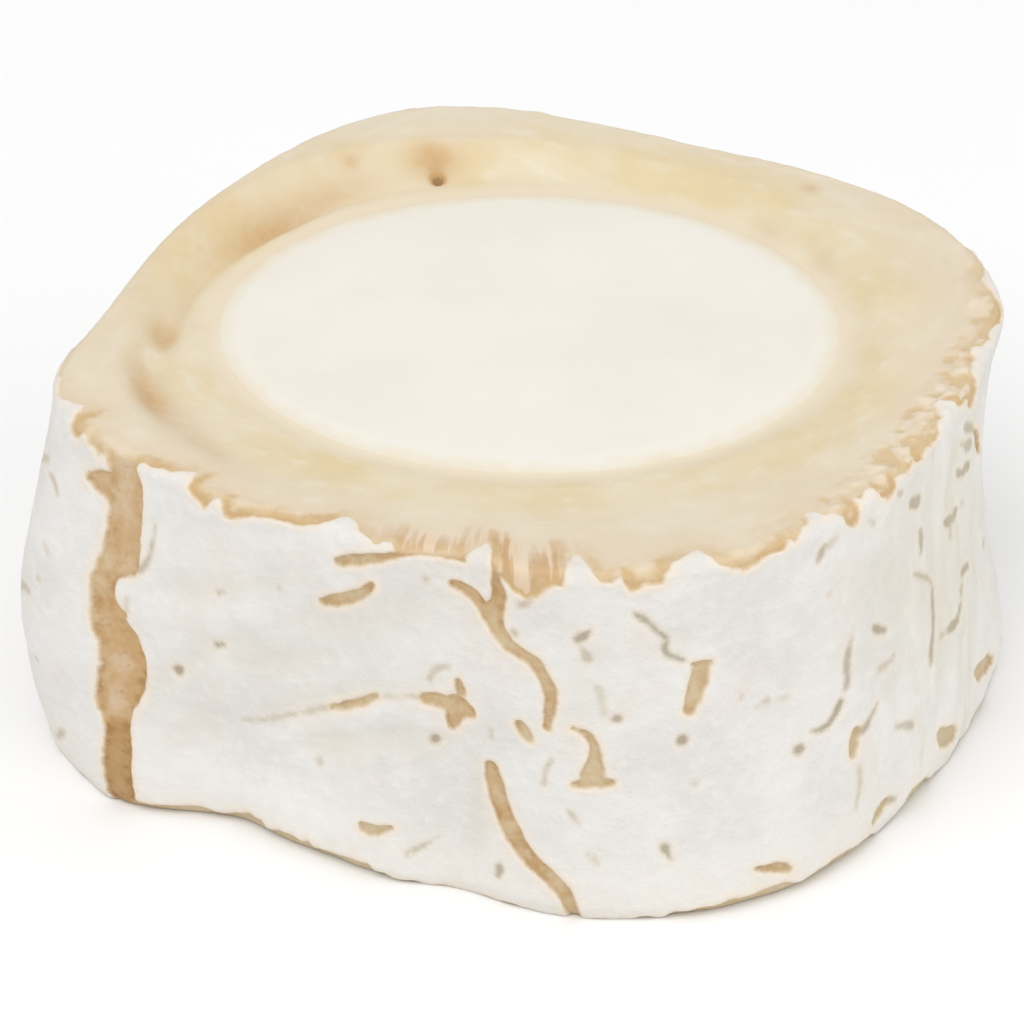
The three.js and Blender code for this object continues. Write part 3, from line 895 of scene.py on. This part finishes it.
# Lays colours one over another. Each layer is an amount and a colour, or a value, the range over
# which it brings the colour in, the most that shows of it, and the colour.
def layered(tree, under, *layers):
    for amount, *span, over in layers:
        if span:
            low, high, most = span
            amount = addNode(tree, "MapRange", smoothly, [amount, low, high, 0, most])
        under = addNode(tree, "Mix", {"data_type": "RGBA"}, {0: amount, 6: under, 7: over}, 2)
    return under


tornLook = {
    "pale": "#cab897",
    "tan": "#be9a6c",
    "dark": "#a07946",
    "pink": "#cdb399",
    "olive": "#c0b595",
    "rimPale": "#d7c6a8",
    "rimPink": "#dccab2",
    "rim": "#c7aa7d",
}


# The cheese that shows through a tear: tan, pinkish in the middle, browner in places along its edge, where
# the darker band is partly browned curd and partly painted shade from the torn rim
def tornColour(tree, cover, tone):
    mottle, fine = grain(tree, 2.4, 4, 0.6), grain(tree, 0.9, 4, 0.6)
    deep = addNode(tree, "Math", timesPlus, [mottle, 4.0, cover])
    # painted shade: a darker band just inside the tear's edge, mixed with real browning
    edge = addNode(tree, "MapRange", smoothly, [fine, -0.1, 0.15, 0, 0.9])
    edge = addNode(tree, "MapRange", smoothly, [deep, -0.9, 0.3, 0, edge])
    spots = addNode(tree, "MapRange", smoothly, [fine, 0.05, 0.25, 0, 0.8])
    spots = addNode(tree, "Math", larger, [edge, spots])
    brown = addNode(tree, "Math", timesPlus, [tone, 0.8, 0.1])
    brown = addNode(tree, "Math", times, [spots, brown])
    # a tone of more than 1 is browner all over
    beyond = addNode(tree, "Math", {"operation": "SUBTRACT"}, [tone, 1])
    beyond = addNode(tree, "Math", larger, [beyond, 0])
    olive = addNode(tree, "Attribute", {"attribute_name": "olive"}, [], "Fac")
    return layered(
        tree, tornLook["pale"],
        (addNode(tree, "Math", timesPlus, [mottle, 2.4, tone]), tornLook["tan"]),
        (deep, -0.6, -2.0, 0.5, tornLook["pink"]),
        (addNode(tree, "Math", {"operation": "ADD"}, [brown, beyond]), tornLook["dark"]),
        (addNode(tree, "Math", times, [olive, 0.7]), tornLook["olive"]))


# The cut edge beside the rind: golden close to it where it browned, else beige and pinkish
def rimColour(tree, cover, tone):
    mottle, fine = grain(tree, 1.8, 4, 0.6), grain(tree, 0.7, 4, 0.6)
    near = addNode(tree, "Math", timesPlus, [mottle, 2.5, cover])
    golden = addNode(tree, "Math", timesPlus, [fine, 1.2, -0.144])
    golden = addNode(tree, "Math", timesPlus, [tone, 1.3, golden])
    return layered(
        tree, tornLook["rimPale"],
        (fine, -0.15, 0.15, 1, tornLook["rimPink"]),
        (near, -1.7, -0.3, golden, tornLook["rim"]))


# What shows where there is no rind
def bareColour(tree, cover, tone, edge):
    return layered(tree, tornColour(tree, cover, tone), (edge, rimColour(tree, cover, tone)))


rindLook = {
    "white": "#dedcd8",
    "shade": "#d7d4cf",
    "pink": "#ddd4cc",
    "bright": "#e8e5e1",
    # painted light: whiter bloom low on the left, where the tints are less than 0
    "paintedLight": "#edeae7",
    # painted light: the wall lighter towards the foot, standing in for light thrown up from the floor
    "low": "#e5e1da",
    "cream": "#e6d9c7",
    "mark": "#9b8e74",
    "markPale": "#c4b497",
    # olive-grey of thin bloom, also used as painted shade in the creases
    "thinBloomAndShade": "#d3ccb8",
    "powderMm": 0.22,   # the mould's fibres are finer; this is as fine as the render shows
}


# White mould: dry and matt, with a soft nap that lightens towards the outline
def mouldMaterial():
    material, tree = newMaterial("white_mould_bloom")
    look = rindLook
    cover, tone, tintAndPaintedShading, mark, dark, edge, upright, brushed = [
        addNode(tree, "Attribute", {"attribute_name": name}, [], "Fac")
        for name in ("cover", "tone", "tintAndPaintedShading", "mark", "markDark", "edge", "upright", "brushed")]
    broad, fine, frayed = grain(tree, 9), grain(tree, 1.3, 5, 0.65), grain(tree, 0.8, 4, 0.6)
    powder = grain(tree, look["powderMm"], 2, places=None)
    spot = addNode(tree, "Attribute", {"attribute_name": "skin"}, [], "Vector")
    height = addNode(tree, "SeparateXYZ", {}, [spot], "Z")
    # lines of the nap, winding where it was brushed and upright where the wall is creased; painted light
    # along their ridges and painted shade in their valleys stand in for their relief
    winding, creases = grain(tree, 1.8, 3, 0.6, places="winding"), grain(tree, 2.2, 3, 0.6, (1, 1, 0.2))
    lines = addNode(tree, "Mix", {}, {0: brushed, 2: fine, 3: winding})
    lines = addNode(tree, "Mix", {}, {0: upright, 2: lines, 3: creases})
    lined = addNode(tree, "Math", larger, [upright, brushed])
    lined = addNode(tree, "Math", times, [lined, 0.45])
    # where the bloom is thin, and painted shade in the valleys between the nap's lines in the creased and
    # brushed zones
    valleyShade = addNode(tree, "Math", times, [upright, 0.6])
    valleyShade = addNode(tree, "Math", timesPlus, [brushed, 0.12, valleyShade])
    valleyShade = addNode(tree, "MapRange", smoothly, [lines, 0, -0.2, 0, valleyShade])
    thinBloomAndShade = addNode(tree, "Math", timesPlus, [fine, 1.4, 0.9])
    thinBloomAndShade = addNode(tree, "Math", timesPlus, [tintAndPaintedShading, thinBloomAndShade, valleyShade])
    # how much of the painted light shows, broken up by the grain
    thick = addNode(tree, "Math", timesPlus, [fine, 1.8, 0.9])
    # the torn edge is frayed, and creamy where it thins out
    ragged = addNode(tree, "Math", timesPlus, [frayed, 0.4, cover])
    halo = addNode(tree, "Math", timesPlus, [fine, 1.6, ragged])
    # marks, creamy round about, darker in the middle and broken up a little
    beside = addNode(tree, "Math", timesPlus, [fine, 0.7, mark])
    about = addNode(tree, "Math", times, [dark, 0.4])
    middle = addNode(tree, "MapRange", smoothly, [beside, 0.05, -0.35])
    darker = addNode(tree, "Math", timesPlus, [middle, 0.5, 0.7])
    drawn = addNode(tree, "Math", times, [frayed, 0.9])
    drawn = addNode(tree, "Math", timesPlus, [dark, darker, drawn])
    drawn = layered(tree, look["markPale"], (drawn, look["mark"]))
    strength = addNode(tree, "Math", timesPlus, [dark, 0.45, 0.35])
    stronger = addNode(tree, "Math", timesPlus, [middle, 0.25, 0.78])
    strength = addNode(tree, "Math", times, [strength, stronger])
    for value, low, high in ((beside, 0.35, -0.35), (grain(tree, 1.4, 2), -0.35, -0.05), (dark, 0, 0.1)):
        strength = addNode(tree, "MapRange", smoothly, [value, low, high, 0, strength])
    body = layered(
        tree, look["white"],
        (broad, -0.1, 0.12, 1, look["shade"]),
        (grain(tree, 6), 0, 0.2, 0.6, look["pink"]),
        (fine, -0.05, 0.3, 0.5, look["bright"]),
        # painted light: lighter towards the foot
        (height, 9 * mm, 3 * mm, 0.6, look["low"]),
        # painted light: lighter along the ridges of the nap's lines
        (lines, 0.02, 0.2, lined, look["bright"]),
        # painted shade: olive-grey in the creases and tint patches, with thinner bloom
        (thinBloomAndShade, look["thinBloomAndShade"]),
        # painted light: whiter where the tints are less than 0
        (tintAndPaintedShading, 0, -1, thick, look["paintedLight"]),
        (halo, 1.3, 0.2, 0.85, look["cream"]),
        (beside, 0.9, 0.1, about, look["cream"]),
        (strength, drawn),
        (ragged, 0.5, 0.05, 1, bareColour(tree, cover, tone, edge)))
    closeMaterial(tree, {
        "Base Color": body, "Roughness": 0.88, "Specular IOR Level": 0.25,
        "Sheen Weight": 0.1, "Sheen Roughness": 0.6,
    }, [(lines, 0.5, 0.3), (fine, 0.3, 0.35), (frayed, 0.12, 0.3), (powder, 0.06, 0.25)])
    return material


pasteLook = {
    "ring": "#dccfb3",
    "ringYellow": "#d9c69f",
    "ringPale": "#d9cfbd",
    "milky": "#e1d9c5",
    "byCore": "#e0d3bb",
    "beige": "#d9c8b0",
    "pink": "#e4d7c4",
    "comb": "#dcc4a8",
    "stainAndMoatShade": "#c39d6a",
    "dark": "#8d6d42",
    "golden": "#cdb184",
    "chalk": "#e6e2d7",
}


# How far the curd has ripened, by the distance out from the core's edge
def ripeness(tree, fromCore):
    uneven = grain(tree, 2.4, 4, 0.6, places=None)
    wavy = addNode(tree, "Math", timesPlus, [uneven, 2.2, fromCore])
    return addNode(tree, "MapRange", smoothly, [wavy, -1.7, 0.9])


# Ripened paste: soft and a little moist
def pasteMaterial():
    material, tree = newMaterial("ripened_goat_cheese")
    look = pasteLook
    cover, tone, corner, fromCore, stainAndMoatShade, crinkle, strength, edge, combed = [
        addNode(tree, "Attribute", {"attribute_name": name}, [], "Fac")
        for name in ("cover", "tone", "fromCorner", "fromCore", "stainAndMoatShade", "crinkle", "bandStrength",
                     "edge", "combed")]
    broad, fine = grain(tree, 11, places=None), grain(tree, 1.2, 5, 0.6, places=None)
    smear, frayed = grain(tree, 2.0, 4, 0.6, (0.4, 0.4, 1)), grain(tree, 0.6, 4, 0.6)
    streaks = grain(tree, 0.9, 2, 0.5, (1, 1, 0.12))
    # beside the rind the cut is golden, and combed by the knife in places; beyond that beige
    pushed = addNode(tree, "Math", times, [combed, 2.0])
    pushed = addNode(tree, "Math", timesPlus, [streaks, pushed, cover])
    beyond = addNode(tree, "Math", timesPlus, [fine, 2.0, pushed])
    wide = addNode(tree, "Math", timesPlus, [tone, 1.4, beyond])
    beige = addNode(tree, "Math", times, [strength, 0.8])
    lines = addNode(tree, "MapRange", smoothly, [beyond, -3.6, -1.6, 0, combed])
    lines = addNode(tree, "MapRange", smoothly, [beyond, 0.1, -0.7, 0, lines])
    lines = addNode(tree, "Math", {"operation": "MINIMUM"}, [lines, 0.8])
    combing = layered(tree, look["comb"], (streaks, -0.08, 0.06, 1, tornLook["tan"]))
    stainedAndShaded = addNode(tree, "Math", timesPlus, [fine, 0.8, 1])
    stainedAndShaded = addNode(tree, "Math", times, [stainAndMoatShade, stainedAndShaded])
    body = layered(
        tree, look["ring"],
        (broad, -0.15, 0.18, 1, look["ringYellow"]),
        (fromCore, 5, 11, 0.6, look["ringPale"]),
        (smear, -0.02, 0.28, 0.6, look["milky"]),
        (smear, -0.02, -0.25, 0.4, look["ringYellow"]),
        (beyond, -4.6, -1.8, beige, look["beige"]),
        (wide, -2.0, -0.4, strength, rimColour(tree, pushed, tone)),
        # pinkish on the raised crinkles, partly a painted highlight; golden in their hollows, browned curd
        # with painted shade
        (crinkle, 0.05, 0.6, 0.7, look["pink"]),
        (crinkle, -0.02, -0.4, 0.7, look["golden"]),
        # stains, and painted shade darkening the moat behind the lip
        (stainedAndShaded, look["stainAndMoatShade"]),
        (stainedAndShaded, 1.0, 1.7, 0.8, look["dark"]),
        (fromCore, 3.5, 0.5, 1, look["byCore"]))
    # below the cut edge the same colours show as in the rind's own torn edge
    wall = addNode(tree, "Math", timesPlus, [fine, 1.2, corner])
    body = layered(
        tree, look["chalk"],
        (ripeness(tree, fromCore), body),
        (wall, 0.2, -0.6, 1, bareColour(tree, cover, tone, edge)),
        (addNode(tree, "Math", times, [lines, edge]), combing))
    closeMaterial(tree, {"Base Color": body, "Roughness": 0.52, "Specular IOR Level": 0.35},
                  [(smear, 0.3, 0.18), (fine, 0.2, 0.25), (frayed, 0.1, 0.2)])
    return material


coreLook = {"white": "#e6e2d8", "shade": "#e2ded2", "bright": "#ebe8e1"}


# Unripened core: chalky, dry and close-grained
def chalkMaterial():
    material, tree = newMaterial("chalky_goat_curd")
    broad, fine = grain(tree, 13, places=None), grain(tree, 0.5, 4, 0.6, places=None)
    fromCore = addNode(tree, "Attribute", {"attribute_name": "fromCore"}, [], "Fac")
    body = layered(
        tree, coreLook["white"],
        (broad, -0.15, 0.2, 1, coreLook["shade"]),
        (fine, 0.05, 0.3, 0.25, coreLook["bright"]),
        (fromCore, -2.5, -1.0, 1, pasteLook["chalk"]),
        (ripeness(tree, fromCore), pasteLook["byCore"]))
    closeMaterial(tree, {"Base Color": body, "Roughness": 0.7, "Specular IOR Level": 0.3},
                  [(broad, 0.2, 0.1), (fine, 0.06, 0.25)])
    return material


studio = {
    "floorSize": 3.0,
    "floorDrop": 0.00003,   # just clear of the flat foot
    "floorColour": "#f4f4f4",
    "world": 0.73,
    "key": {"at": (-0.35, -0.55, 1.0), "size": 1.0, "watts": 6.6},
    "fill": {"at": (0.9, -0.4, 0.45), "size": 1.0, "watts": 3.0},
}

view = {
    "lens": 209.4,
    "down": 32.0,         # degrees below level
    "distance": 0.550,
    "aim": (-0.0008, -0.0019, 0.018),
}


def lookAt(thing, target):
    way = Vector(target) - thing.location
    thing.rotation_euler = way.to_track_quat("-Z", "Y").to_euler()


def makeStudio():
    bpy.ops.mesh.primitive_plane_add(size=studio["floorSize"], location=(0, 0, -studio["floorDrop"]))
    floor = bpy.context.object
    floor.name = "floor"
    material, tree = newMaterial("matt_card")
    closeMaterial(tree, {"Base Color": studio["floorColour"], "Roughness": 0.9, "Specular IOR Level": 0.1})
    floor.data.materials.append(material)
    for name in ("key", "fill"):
        lamp = studio[name]
        bpy.ops.object.light_add(type="AREA", location=lamp["at"])
        light = bpy.context.object
        light.name = name
        light.data.size = lamp["size"]
        light.data.energy = lamp["watts"]
        lookAt(light, (0, 0, 0.02))
    world = bpy.context.scene.world or bpy.data.worlds.new("studio")
    bpy.context.scene.world = world
    world.use_nodes = True
    sky = world.node_tree.nodes["Background"]
    sky.inputs["Color"].default_value = (1, 1, 1, 1)
    sky.inputs["Strength"].default_value = studio["world"]
    bpy.context.scene.view_settings.view_transform = "Standard"


def makeCamera():
    down = math.radians(view["down"])
    aim, away = Vector(view["aim"]), view["distance"]
    bpy.ops.object.camera_add(location=aim + Vector((0, -away * math.cos(down), away * math.sin(down))))
    camera = bpy.context.object
    camera.data.lens = view["lens"]
    lookAt(camera, aim)
    bpy.context.scene.camera = camera


bpy.ops.object.select_all(action="DESELECT")
makeStudio()
makeCamera()
print("studio ready")

for make, material, node in (
    (makeRind, mouldMaterial, "ripened_layer"),
    (makePaste, pasteMaterial, "ripened_layer"),
    (makeCore, chalkMaterial, "chalk_core"),
):
    piece = make()
    piece.data.materials.append(material())
    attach(piece, "root")
    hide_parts(node)
print("cheese ready")
